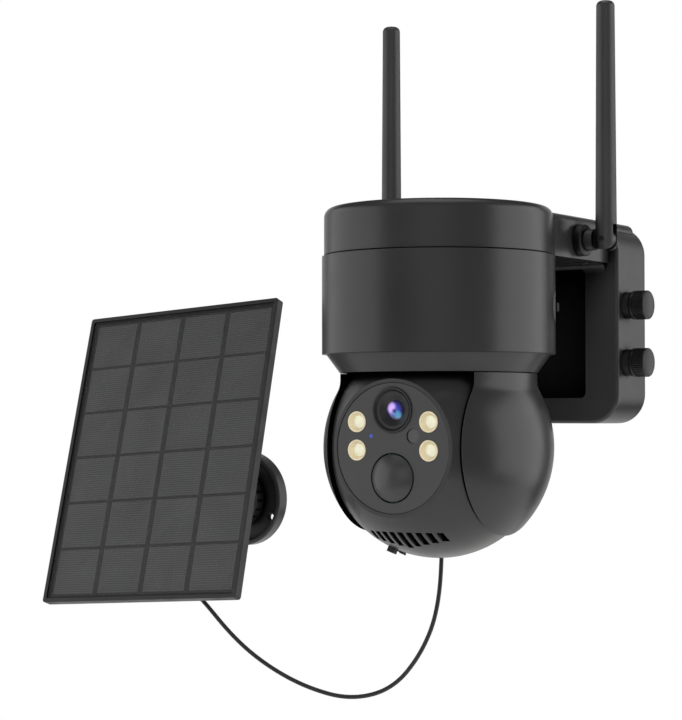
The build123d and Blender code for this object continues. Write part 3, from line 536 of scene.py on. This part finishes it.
plasticLooks = {
    "housing_plastic": {
        "colour": (0.027, 0.027, 0.0275), "tone": 0.05, "roughness": 0.30, "roughSpread": 0.02,
        "grainScale": 3200, "grainStrength": 0.12, "grainDepth": 0.04, "wear": 0.30,
        # the wall box's screw recess, where the painted shade is made darker than in other hollows
        "pocket": ((-34.5, 34.5), (-30.2, -3.6), (-37.9, 27.9)), "pocketTone": 0.12,
    },
    "housing_trim": {
        "colour": (0.012, 0.012, 0.0125), "tone": 0.10, "roughness": 0.46, "roughSpread": 0.04,
        "grainScale": 2600, "grainStrength": 0.3, "grainDepth": 0.06, "wear": 0.45,
    },
    # a darker copy of the trim for the caps, standing in for the shade on their sides
    "entry_shaded_black": {
        "colour": (0.006, 0.006, 0.0062), "tone": 0.10, "roughness": 0.36, "roughSpread": 0.04,
        "grainScale": 2600, "grainStrength": 0.2, "grainDepth": 0.05, "wear": 0.35,
    },
    "rubber_black": {
        "colour": (0.014, 0.014, 0.0145), "tone": 0.15, "roughness": 0.62, "roughSpread": 0.06,
        "grainScale": 1900, "grainStrength": 0.35, "grainDepth": 0.08, "wear": 0.2, "sheen": 0.08,
    },
    "antenna_plastic": {
        "colour": (0.033, 0.033, 0.034), "tone": 0.06, "roughness": 0.38, "roughSpread": 0.04,
        "grainScale": 2800, "grainStrength": 0.25, "grainDepth": 0.05, "wear": 0.3,
    },
    "face_plastic": {
        "colour": (0.050, 0.050, 0.051), "tone": 0.04, "roughness": 0.50, "roughSpread": 0.03,
        "grainScale": 4200, "grainStrength": 0.15, "grainDepth": 0.03, "wear": 0.3,
    },
    "panel_rim": {
        "colour": (0.011, 0.011, 0.0115), "tone": 0.10, "roughness": 0.42, "roughSpread": 0.05,
        "grainScale": 2400, "grainStrength": 0.25, "grainDepth": 0.05, "wear": 0.4,
    },
    "panel_back": {
        "colour": (0.024, 0.024, 0.025), "tone": 0.12, "roughness": 0.55, "roughSpread": 0.06,
        "grainScale": 1500, "grainStrength": 0.4, "grainDepth": 0.08, "wear": 0.3,
    },
    "gear_white": {
        "colour": (0.72, 0.71, 0.67), "tone": 0.04, "roughness": 0.42, "roughSpread": 0.05,
        "grainScale": 1800, "grainStrength": 0.12, "grainDepth": 0.04, "wear": 0.1, "speckle": 0.05,
    },
}
glossLooks = {
    "lens_black": {
        "colour": (0.022, 0.022, 0.023), "tone": 0.15, "roughness": 0.42, "roughSpread": 0.10,
    },
    "lamp_cup": {
        "colour": (0.78, 0.67, 0.45), "tone": 0.10, "roughness": 0.28, "coat": 0.3,
        "glow": 0.02, "glowColour": (1.0, 0.86, 0.6),
    },
    "lamp_lens": {
        "colour": (0.82, 0.82, 0.64), "tone": 0.05, "roughness": 0.22, "coat": 0.5,
        "glow": 0.06, "glowColour": (1.0, 1.0, 0.78),
    },
    "status_blue": {
        "colour": (0.02, 0.05, 0.34), "tone": 0.2, "roughness": 0.3, "coat": 0.4,
        "glow": 0.12, "glowColour": (0.12, 0.25, 1.0),
    },
    "window_smoke": {"colour": (0.045, 0.046, 0.044), "tone": 0.1, "roughness": 0.22, "coat": 0.4},
    "battery_wrap": {"colour": (0.03, 0.14, 0.27), "tone": 0.12, "roughness": 0.30, "coat": 0.4},
}
metalLooks = {
    "metal_steel": {
        "colour": (0.56, 0.56, 0.57), "roughness": 0.32, "stretch": (1, 1, 14), "lineScale": 900,
    },
    "metal_dark": {
        "colour": (0.045, 0.045, 0.047), "roughness": 0.38, "stretch": (1, 14, 1), "lineScale": 700,
        "metallic": 0.7,
    },
}
finishes = {name: mouldedFinish(name, look) for name, look in plasticLooks.items()}
finishes.update({name: glossFinish(name, look) for name, look in glossLooks.items()})
finishes.update({name: metalFinish(name, look) for name, look in metalLooks.items()})


# ---- smoked sensor dome: a fine honeycomb of small facets under a satin skin
domeLook = {
    "colour": (0.040, 0.040, 0.042), "darkTint": 0.9, "lightTint": 1.12, "cloudScale": 90,
    "roughness": 0.34, "coat": 0.15, "coatRoughness": 0.3, "edgeRadius": 0.4,
    "facetScale": 620, "facetStrength": 0.22, "facetDepth": 0.04, "facetJitter": 0.15,
}


def domeFinish(name, look):
    material, tree, shader = startFinish(name, look)
    place = objectCoords(tree)
    facets = addNode(tree, "ShaderNodeTexVoronoi", feature="F1")
    facets.inputs["Scale"].default_value = look["facetScale"]
    facets.inputs["Randomness"].default_value = look["facetJitter"]
    tree.links.new(place, facets.inputs["Vector"])
    clouds = noiseOf(tree, place, look["cloudScale"], 2)
    dark, light = (tinted(look["colour"], look[tint]) for tint in ("darkTint", "lightTint"))
    colour = mixColours(tree, spread(tree, clouds, 0, 1), dark, light)
    tree.links.new(colour, shader.inputs["Base Color"])
    roughness = look["roughness"]
    rough = spread(tree, facets.outputs["Distance"], roughness - 0.04, roughness + 0.05, 0, 0.6)
    tree.links.new(rough, shader.inputs["Roughness"])
    softNormal = edgeMask(tree, look["edgeRadius"] * mm)[1]
    strength, depth = look["facetStrength"], look["facetDepth"] * mm
    addBump(tree, shader, facets.outputs["Distance"], strength, depth, softNormal)
    return material


finishes["motion_lens"] = domeFinish("motion_lens", domeLook)

# ---- circuit boards: green mask over weave, with copper tracks and pads
boardLook = {
    "mask": (0.016, 0.095, 0.04), "track": (0.03, 0.15, 0.06), "pad": (0.62, 0.5, 0.25),
    "trackScale": 210, "trackStrength": 0.2, "trackDepth": 0.04, "weaveScale": 1500,
    "smoothest": 0.32, "roughest": 0.45, "coat": 0.25, "coatRoughness": 0.25,
}


def boardFinish(name, look):
    material, tree, shader = startFinish(name, look)
    place = objectCoords(tree)
    cells = addNode(tree, "ShaderNodeTexVoronoi", feature="F1", distance="CHEBYCHEV")
    cells.inputs["Scale"].default_value = look["trackScale"]
    tree.links.new(place, cells.inputs["Vector"])
    tracks = spread(tree, cells.outputs["Distance"], 0, 1, 0.42, 0.46)
    colour = mixColours(tree, tracks, look["mask"], look["track"])
    pads = spread(tree, cells.outputs["Distance"], 1, 0, 0.07, 0.09)
    colour = mixColours(tree, pads, colour, look["pad"])
    weave = noiseOf(tree, place, look["weaveScale"], 2)
    tree.links.new(colour, shader.inputs["Base Color"])
    rough = spread(tree, weave, look["smoothest"], look["roughest"])
    tree.links.new(rough, shader.inputs["Roughness"])
    strength, depth = look["trackStrength"], look["trackDepth"] * mm
    addBump(tree, shader, cells.outputs["Distance"], strength, depth)
    return material


finishes["board_green"] = boardFinish("board_green", boardLook)

# ---- solar cells: printed fingers across each cell and slow tone from crystal to crystal
cellLook = {
    "silicon": (0.045, 0.0455, 0.048),
    "finger": (0.105, 0.106, 0.108),
    "darkTint": 0.9, "lightTint": 1.12, "crystalScale": 45,
    "pitch": 1.26, "fingerShare": 0.34, "fingerStrength": 0.3, "fingerDepth": 0.04,
    "breakScale": 600, "leastFinger": 0.7,
    "roughness": 0.42, "roughSpread": 0.05, "coat": 0.2, "coatRoughness": 0.35,
}


def alongAxis(tree, place, axis):
    dot = addNode(tree, "ShaderNodeVectorMath", operation="DOT_PRODUCT")
    tree.links.new(place, dot.inputs[0])
    dot.inputs[1].default_value = axis
    return dot.outputs["Value"]


def cellFinish(name, look):
    material, tree, shader = startFinish(name, look)
    place = objectCoords(tree)
    upward = alongAxis(tree, place, panelUp)
    turns = calculate(tree, "MULTIPLY", upward, 2 * pi / (look["pitch"] * mm))
    wave = calculate(tree, "SINE", turns)
    edge = cos(pi * look["fingerShare"])
    fingers = spread(tree, wave, 0, 1, edge - 0.25, edge + 0.35, smooth=True)
    broken = noiseOf(tree, place, look["breakScale"], 2)
    whole = spread(tree, broken, look["leastFinger"], 1)
    fingers = calculate(tree, "MULTIPLY", fingers, whole)
    crystals = noiseOf(tree, place, look["crystalScale"], 3)
    dark, light = (tinted(look["silicon"], look[tint]) for tint in ("darkTint", "lightTint"))
    base = mixColours(tree, spread(tree, crystals, 0, 1), dark, light)
    tree.links.new(mixColours(tree, fingers, base, look["finger"]), shader.inputs["Base Color"])
    middle, swing = look["roughness"], look["roughSpread"]
    rough = spread(tree, broken, middle - swing, middle + swing)
    tree.links.new(rough, shader.inputs["Roughness"])
    addBump(tree, shader, fingers, look["fingerStrength"], look["fingerDepth"] * mm)
    return material


finishes["cell_silicon"] = cellFinish("cell_silicon", cellLook)

# ---- the panel's clear sheet: thin satin film that lets the cells through
sheetLook = {
    "colour": (0.10, 0.10, 0.102), "darkTint": 0.92, "alpha": 0.22, "roughness": 0.36,
    "hazeScale": 60, "grainScale": 2600, "grainStrength": 0.12, "grainDepth": 0.03,
}


def sheetFinish(name, look):
    material, tree, shader = startFinish(name, look)
    place = objectCoords(tree)
    haze = noiseOf(tree, place, look["hazeScale"], 3)
    grain = noiseOf(tree, place, look["grainScale"], 2)
    dark = tinted(look["colour"], look["darkTint"])
    colour = mixColours(tree, spread(tree, haze, 0, 1), dark, look["colour"])
    tree.links.new(colour, shader.inputs["Base Color"])
    rough = spread(tree, haze, look["roughness"] - 0.03, look["roughness"] + 0.04)
    tree.links.new(rough, shader.inputs["Roughness"])
    shader.inputs["Alpha"].default_value = look["alpha"]
    addBump(tree, shader, grain, look["grainStrength"], look["grainDepth"] * mm)
    return material


finishes["panel_glass"] = sheetFinish("panel_glass", sheetLook)

# ---- coated lens: painted reflection of the coating in violet and cyan round a dark pupil, and a painted glow
# each tint has its colour, its place beside the middle and how far it reaches, in millimetres
lensPlace = Vector((0, -160.1, -43.7)) * mm  # middle of the lens on the eye's face
lensLook = {
    "rim": (0.012, 0.010, 0.022),
    # violet and cyan are the coating's reflection, painted in at fixed places
    "violetReflection": (0.50, 0.32, 0.80),
    "violetReflectionAt": (-1.6, 1.1), "violetReflectionReach": 3.4,
    "cyanReflection": (0.08, 0.26, 0.44),
    "cyanReflectionAt": (1.7, -2.0), "cyanReflectionReach": 2.6,
    "pupil": (0.02, 0.02, 0.14),
    "pupilAt": (0.1, -0.4), "pupilReach": 1.5,
    "blue": (0.05, 0.06, 0.42), "blueReach": 4.6,
    # glow: the lens colour is also emitted, painted light on a part that is no lamp
    "glow": 0.35, "rippleScale": 300, "smoothest": 0.08, "roughest": 0.16,
    "coat": 1.0, "coatRoughness": 0.04, "ior": 1.6,
}


def blob(tree, place, at, reach):
    centre = lensPlace + Vector((at[0], 0, at[1])) * mm
    flat = addNode(tree, "ShaderNodeVectorMath", operation="MULTIPLY")
    flat.inputs[1].default_value = (1, 0, 1)
    tree.links.new(place, flat.inputs[0])
    away = addNode(tree, "ShaderNodeVectorMath", operation="DISTANCE")
    tree.links.new(flat.outputs[0], away.inputs[0])
    away.inputs[1].default_value = (centre.x, 0, centre.z)
    return spread(tree, away.outputs["Value"], 1, 0, reach * mm * 0.3, reach * mm, smooth=True)


def lensFinish(name, look):
    material, tree, shader = startFinish(name, look)
    place = objectCoords(tree)
    middle = blob(tree, place, (0, 0), look["blueReach"])
    colour = mixColours(tree, middle, look["rim"], look["blue"])
    for part in ("violetReflection", "cyanReflection", "pupil"):
        amount = blob(tree, place, look[part + "At"], look[part + "Reach"])
        colour = mixColours(tree, amount, colour, look[part])
    tree.links.new(colour, shader.inputs["Base Color"])
    # painted glow: the painted reflection is emitted as well
    tree.links.new(colour, shader.inputs["Emission Color"])
    shader.inputs["Emission Strength"].default_value = look["glow"]
    ripple = noiseOf(tree, place, look["rippleScale"], 2)
    rough = spread(tree, ripple, look["smoothest"], look["roughest"])
    tree.links.new(rough, shader.inputs["Roughness"])
    return material


finishes["lens_glass"] = lensFinish("lens_glass", lensLook)

# ---- cable jacket: rubbery, with fine draw lines along its own length
jacketLook = {
    "colour": (0.020, 0.020, 0.021), "darkTint": 0.85, "lightTint": 1.25, "roughness": 0.45,
    "stretch": (24, 160, 1),  # many lines round the cable, each short along it
    "lineStrength": 0.2, "lineDepth": 0.03,
}


def jacketFinish(name, look):
    material, tree, shader = startFinish(name, look)
    uv = addNode(tree, "ShaderNodeUVMap", uv_map="alongCable").outputs["UV"]
    stretch = addNode(tree, "ShaderNodeMapping")
    stretch.inputs["Scale"].default_value = look["stretch"]
    tree.links.new(uv, stretch.inputs["Vector"])
    lines = noiseOf(tree, stretch.outputs["Vector"], 1.0, 3)
    dark, light = (tinted(look["colour"], look[tint]) for tint in ("darkTint", "lightTint"))
    colour = mixColours(tree, spread(tree, lines, 0, 1), dark, light)
    tree.links.new(colour, shader.inputs["Base Color"])
    rough = spread(tree, lines, look["roughness"] - 0.05, look["roughness"] + 0.08)
    tree.links.new(rough, shader.inputs["Roughness"])
    addBump(tree, shader, lines, look["lineStrength"], look["lineDepth"] * mm)
    return material


finishes["cable_black"] = jacketFinish("cable_black", jacketLook)


def paint(piece, finish):
    piece.data.materials.clear()
    piece.data.materials.append(finishes[finish])


slotOfNode = {row["node"]: row["material_slot"] for row in frame["record"]["subparts"]}
for nodeName, node in frame["nodes"].items():
    paint(node, slotOfNode[nodeName])
paint(cableJacket, "cable_black")
print("finishes made:", len(finishes))


# ---- plug under the arm: grip ribs and a tapered boot with slots that let it bend
plug = {
    "at": (-38.0, -50.5),
    "sides": 48,
    "body": [
        (1.6, 4.0), (1.75, 5.2), (2.15, 5.2), (2.2, 6.0), (1.85, 6.0), (2.05, 7.2), (2.5, 7.2),
        (2.55, 8.0), (2.15, 8.0), (2.4, 9.2), (2.85, 9.2), (2.9, 10.0), (2.5, 10.0), (2.9, 11.2),
        (3.6, 12.0), (4.4, 12.4), (4.6, 13.2), (4.6, 14.4), (4.6, 24.0), (4.6, 25.4), (4.1, 25.4),
        (4.1, 26.2), (4.6, 26.2), (4.6, 27.5),
    ],
    "gripLow": 14.4, "gripHigh": 24.0, "gripDepth": 0.35,
}


def makePlug(settings):
    body = turnUp("plug_boot", settings["body"], settings["sides"])
    cutGrip(body, settings["gripLow"], settings["gripHigh"], settings["gripDepth"])
    roundEdges(body, 0.12)
    settle(body, Matrix.Translation(Vector((*settings["at"], 0)) * mm))
    return body


plugBoot = makePlug(plug)
paint(plugBoot, "rubber_black")
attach(plugBoot, "housing")
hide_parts("cable_plug")
print("plug made")


# ---- gland on the panel's back: six flats, a dome and a ringed boot
gland = {
    "across": 16.0, "below": -44.0, "depth": 9.5,
    "nutRadius": 4.1, "nutLow": 0.0, "nutHigh": 3.6,
    "boot": [
        (3.1, 3.4), (3.1, 4.4), (2.75, 5.4), (2.3, 5.9), (2.0, 6.0), (2.0, 6.6), (2.25, 6.7),
        (2.2, 7.3), (1.9, 7.4), (1.85, 8.0), (2.05, 8.1), (2.0, 8.7), (1.75, 8.8), (1.7, 10.0),
    ],
}


def makeGland(settings):
    radius = settings["nutRadius"]
    nut = turnUp("gland_nut", [(radius, settings["nutLow"]), (radius, settings["nutHigh"])], 6)
    roundEdges(nut, 0.3, 3)
    boot = turnUp("gland_boot", settings["boot"], 40)
    roundEdges(boot, 0.1)
    whole = joinPieces("gland_body", [nut, boot])
    start = (
        panelMiddle + panelAcross * settings["across"] * mm + panelUp * settings["below"] * mm
        - panelOut * settings["depth"] * mm
    )
    settle(whole, frameAt(start, -panelUp, panelAcross))
    return whole


glandBody = makeGland(gland)
paint(glandBody, "rubber_black")
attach(glandBody, "panel")
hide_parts("cable_gland")
print("gland made")


# ---- screw caps of the cable entries: finely ribbed sides and a plain end
entryCap = {
    "x": 55.9, "y": -21.4, "heights": {"upper": 9.0, "lower": -19.7},
    "sides": 80,
    "body": [
        (6.5, 0.0), (7.1, 0.2), (7.25, 0.7), (7.25, 1.5), (7.0, 1.6), (7.0, 2.1), (7.25, 2.2),
        (7.25, 7.4), (7.25, 7.7), (7.1, 8.1), (6.75, 8.35), (6.2, 8.35), (6.05, 8.2), (1.0, 8.2),
    ],
    "gripLow": 2.2, "gripHigh": 7.4, "gripDepth": 0.22,
}


def makeEntryCap(settings):
    cap = turnUp("entry_cap", settings["body"], settings["sides"])
    cutGrip(cap, settings["gripLow"], settings["gripHigh"], settings["gripDepth"])
    roundEdges(cap, 0.06)
    return cap


capForm = makeEntryCap(entryCap)
for which, height in entryCap["heights"].items():
    start = Vector((entryCap["x"], entryCap["y"], height)) * mm
    cap = copyPiece(capForm, "entry_cap_" + which, frameAt(start, (1, 0, 0), (0, 0, 1)))
    # the darker trim copy stands in for the shade on the caps' sides
    paint(cap, "entry_shaded_black")
    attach(cap, "entry_" + which)
    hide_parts("entry_plug_" + which)
bpy.data.objects.remove(capForm)
print("entry caps made")


# ---- clamp ring of the panel's ball mount: coarse grip round a bored ring
clampRing = {
    "radius": 15.8, "bore": 12.8, "start": -15.0, "length": 9.0, "sides": 60,
    "gripLow": 1.4, "gripHigh": 7.4, "gripDepth": 0.7, "gripEvery": 3,
}


def makeClampRing(settings):
    radius, length = settings["radius"], settings["length"]
    gripLow, gripHigh = settings["gripLow"], settings["gripHigh"]
    steps = [
        (radius - 1.0, 0), (radius, 1.0), (radius, gripLow), (radius, gripHigh),
        (radius, 8.2), (radius - 0.6, length),
    ]
    ring = turnUp("clamp_ring", steps, settings["sides"])
    cutGrip(ring, gripLow, gripHigh, settings["gripDepth"], settings["gripEvery"])
    bore = turnUp("clamp_bore", [(settings["bore"], -1), (settings["bore"], length + 1)], 72)
    cutWith(ring, bore)
    roundEdges(ring, 0.18)
    x, z = ballCentre.x, ballCentre.z
    settle(ring, frameAt((x, settings["start"] * mm, z), (0, 1, 0), (0, 0, 1)))
    return ring


ring = makeClampRing(clampRing)
paint(ring, "housing_trim")
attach(ring, "clamp")
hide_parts("clamp_collar")
print("clamp ring made")


# ---- lens dome and the stepped mount that shows round it
lensDome = {"radius": 4.55, "bulge": 1.25, "back": 3.2, "sunk": 2.7, "steps": 12, "sides": 64}


def makeLensDome(settings):
    radius, bulge = settings["radius"], settings["bulge"]
    ball = (radius**2 + bulge**2) / (2 * bulge)
    steps = [(radius, -settings["back"]), (radius, 0)]
    for index in range(1, settings["steps"] + 1):
        ringRadius = radius * (1 - index / settings["steps"]) + 0.02
        height = (ball**2 - ringRadius**2) ** 0.5 - (ball - bulge)
        steps.append((ringRadius, height))
    dome = turnUp("lens_dome", steps, settings["sides"])
    pickOnly(dome)
    bpy.ops.object.shade_smooth_by_angle(angle=radians(50))
    settle(dome, frameAt(lensPlace + Vector((0, settings["sunk"], 0)) * mm, (0, -1, 0)))
    return dome


dome = makeLensDome(lensDome)
paint(dome, "lens_glass")
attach(dome, "eye")
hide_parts("lens_glass")
print("lens dome made")


# ---- screws: a low domed head with a cross recess, copied wherever a cover is held
screw = {
    "head": [(1.9, 0.0), (1.95, 0.25), (1.8, 0.7), (1.4, 1.05), (0.8, 1.22), (0.2, 1.26)],
    "recessLength": 2.0, "recessWidth": 0.45, "recessDepth": 0.7,
}


def makeScrew(settings):
    head = turnUp("screw_head", settings["head"], 40)
    top = settings["head"][-1][1]
    bars = [
        addBlock("bar", size, (0, 0, top))
        for size in (
            (settings["recessLength"], settings["recessWidth"], 2 * settings["recessDepth"]),
            (settings["recessWidth"], settings["recessLength"], 2 * settings["recessDepth"]),
        )
    ]
    for bar in bars:
        cutWith(head, bar)
    roundEdges(head, 0.05, 1)
    return head


screwForm = makeScrew(screw)


# ---- underside of the arm: the cover's four screws
armScrews = {"places": [(-38.0, -75.0), (38.0, -75.0), (-30.0, -40.0), (38.0, -40.0)], "z": 30.0}
parts = [
    copyPiece(screwForm, "arm_screw", frameAt(Vector((x, y, armScrews["z"])) * mm, (0, 0, -1)))
    for x, y in armScrews["places"]
]
armScrewSet = joinPieces("arm_cover_screws", parts)
paint(armScrewSet, "metal_dark")
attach(armScrewSet, "housing")


# ---- junction box lid on the panel's back, with its four screws
junctionLid = {
    "place": (2.0, -31.0), "size": (42.0, 22.0, 1.2), "depth": 14.0, "sunk": 0.2, "inset": 3.4,
    "rim": 1.4, "panelDepth": 0.35, "screwLift": 0.6, "screwScale": 0.8,
}


def panelFrame(across, up, depth):
    point = panelMiddle + panelAcross * across * mm + panelUp * up * mm - panelOut * depth * mm
    return frameAt(point, -panelOut, panelAcross)


def makeJunctionLid(settings):
    width, height, thickness = settings["size"]
    lid = addBlock("junction_lid", settings["size"], (0, 0, thickness / 2))
    pickFaces(lid, lambda face: face.normal.z > 0.9)
    bpy.ops.mesh.inset(thickness=settings["rim"] * mm)
    inward = (0, 0, -settings["panelDepth"] * mm)
    bpy.ops.mesh.extrude_region_move(TRANSFORM_OT_translate={"value": inward})
    bpy.ops.object.mode_set(mode="OBJECT")
    roundEdges(lid, 0.25, 3)
    place = panelFrame(*settings["place"], settings["depth"] - settings["sunk"])
    cornerX, cornerY = width / 2 - settings["inset"], height / 2 - settings["inset"]
    screws = []
    for sideX in (-1, 1):
        for sideY in (-1, 1):
            point = Vector((sideX * cornerX, sideY * cornerY, settings["screwLift"]))
            corner = Matrix.Translation(point * mm)
            sized = Matrix.Scale(settings["screwScale"], 4)
            screws.append(copyPiece(screwForm, "lid_screw", place @ corner @ sized))
    settle(lid, place)
    return lid, joinPieces("junction_lid_screws", screws)


lid, lidScrews = makeJunctionLid(junctionLid)
for piece, finish in ((lid, "panel_back"), (lidScrews, "metal_dark")):
    paint(piece, finish)
    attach(piece, "panel")
bpy.data.objects.remove(screwForm)
print("screws and lid made")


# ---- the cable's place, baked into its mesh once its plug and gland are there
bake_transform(cableJacket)


# ---- studio: pale floor, white surround and soft lights
studio = {
    "floorZ": -0.60, "floorHalf": 0.95, "floorColour": (0.82, 0.82, 0.81),
    "surround": 1.0, "surroundFill": 0.04,
    "lights": [
        # name, direction from the object, distance, width, height, power, shows in reflections
        ("leftSoftbox", (-0.914, -0.407, 0.05), 1.6, 2.6, 1.8, 15, True),
        ("rightSoftbox", (0.85, 0.52, 0.10), 1.6, 2.2, 1.8, 19.5, True),
        ("backSoftbox", (-0.512, 0.859, 0.0), 1.9, 2.6, 2.0, 9.8, True),
        ("backFill", (-0.25, 0.93, 0.27), 2.4, 1.8, 1.4, 45, False),
        ("overhead", (0.0, -0.1, 1.0), 1.9, 1.6, 1.6, 10, True),
        ("frontFill", (0.42, -0.88, 0.20), 2.6, 1.8, 1.4, 54, False),
    ],
    "aim": (0.0, -0.09, -0.02),
}


def makeStudio(settings):
    clearSelection()
    middle = (0, 0, settings["floorZ"])
    bpy.ops.mesh.primitive_plane_add(size=2 * settings["floorHalf"], location=middle)
    floor = bpy.context.object
    floor.name = "studio_floor"
    material, tree, shader = startFinish("studio_floor", {})
    grain = noiseOf(tree, objectCoords(tree), 30, 2)
    shade = tuple(c * 0.98 for c in settings["floorColour"])
    colour = mixColours(tree, spread(tree, grain, 0, 1), shade, settings["floorColour"])
    tree.links.new(colour, shader.inputs["Base Color"])
    shader.inputs["Roughness"].default_value = 0.8
    floor.data.materials.append(material)

    world = bpy.data.worlds.new("surround")
    bpy.context.scene.world = world
    world.use_nodes = True
    tree = world.node_tree
    seen = tree.nodes["Background"]
    seen.inputs["Color"].default_value = (1, 1, 1, 1)
    seen.inputs["Strength"].default_value = settings["surround"]
    fill = addNode(tree, "ShaderNodeBackground")
    fill.inputs["Color"].default_value = (1, 1, 1, 1)
    fill.inputs["Strength"].default_value = settings["surroundFill"]
    mix = addNode(tree, "ShaderNodeMixShader")
    ray = addNode(tree, "ShaderNodeLightPath")
    tree.links.new(ray.outputs["Is Camera Ray"], mix.inputs[0])
    tree.links.new(fill.outputs[0], mix.inputs[1])
    tree.links.new(seen.outputs[0], mix.inputs[2])
    tree.links.new(mix.outputs[0], tree.nodes["World Output"].inputs["Surface"])

    aim = Vector(settings["aim"])
    for name, direction, distance, width, height, power, mirrored in settings["lights"]:
        data = bpy.data.lights.new(name, "AREA")
        data.shape = "RECTANGLE"
        data.size, data.size_y, data.energy = width, height, power
        light = bpy.data.objects.new(name, data)
        toLight = Vector(direction).normalized()
        light.location = aim + toLight * distance
        light.visible_camera = False
        light.visible_glossy = mirrored
        light.rotation_euler = toLight.to_track_quat("Z", "Y").to_euler()
        bpy.context.scene.collection.objects.link(light)
    bpy.context.scene.view_settings.view_transform = "Standard"


makeStudio(studio)
print("studio lit")
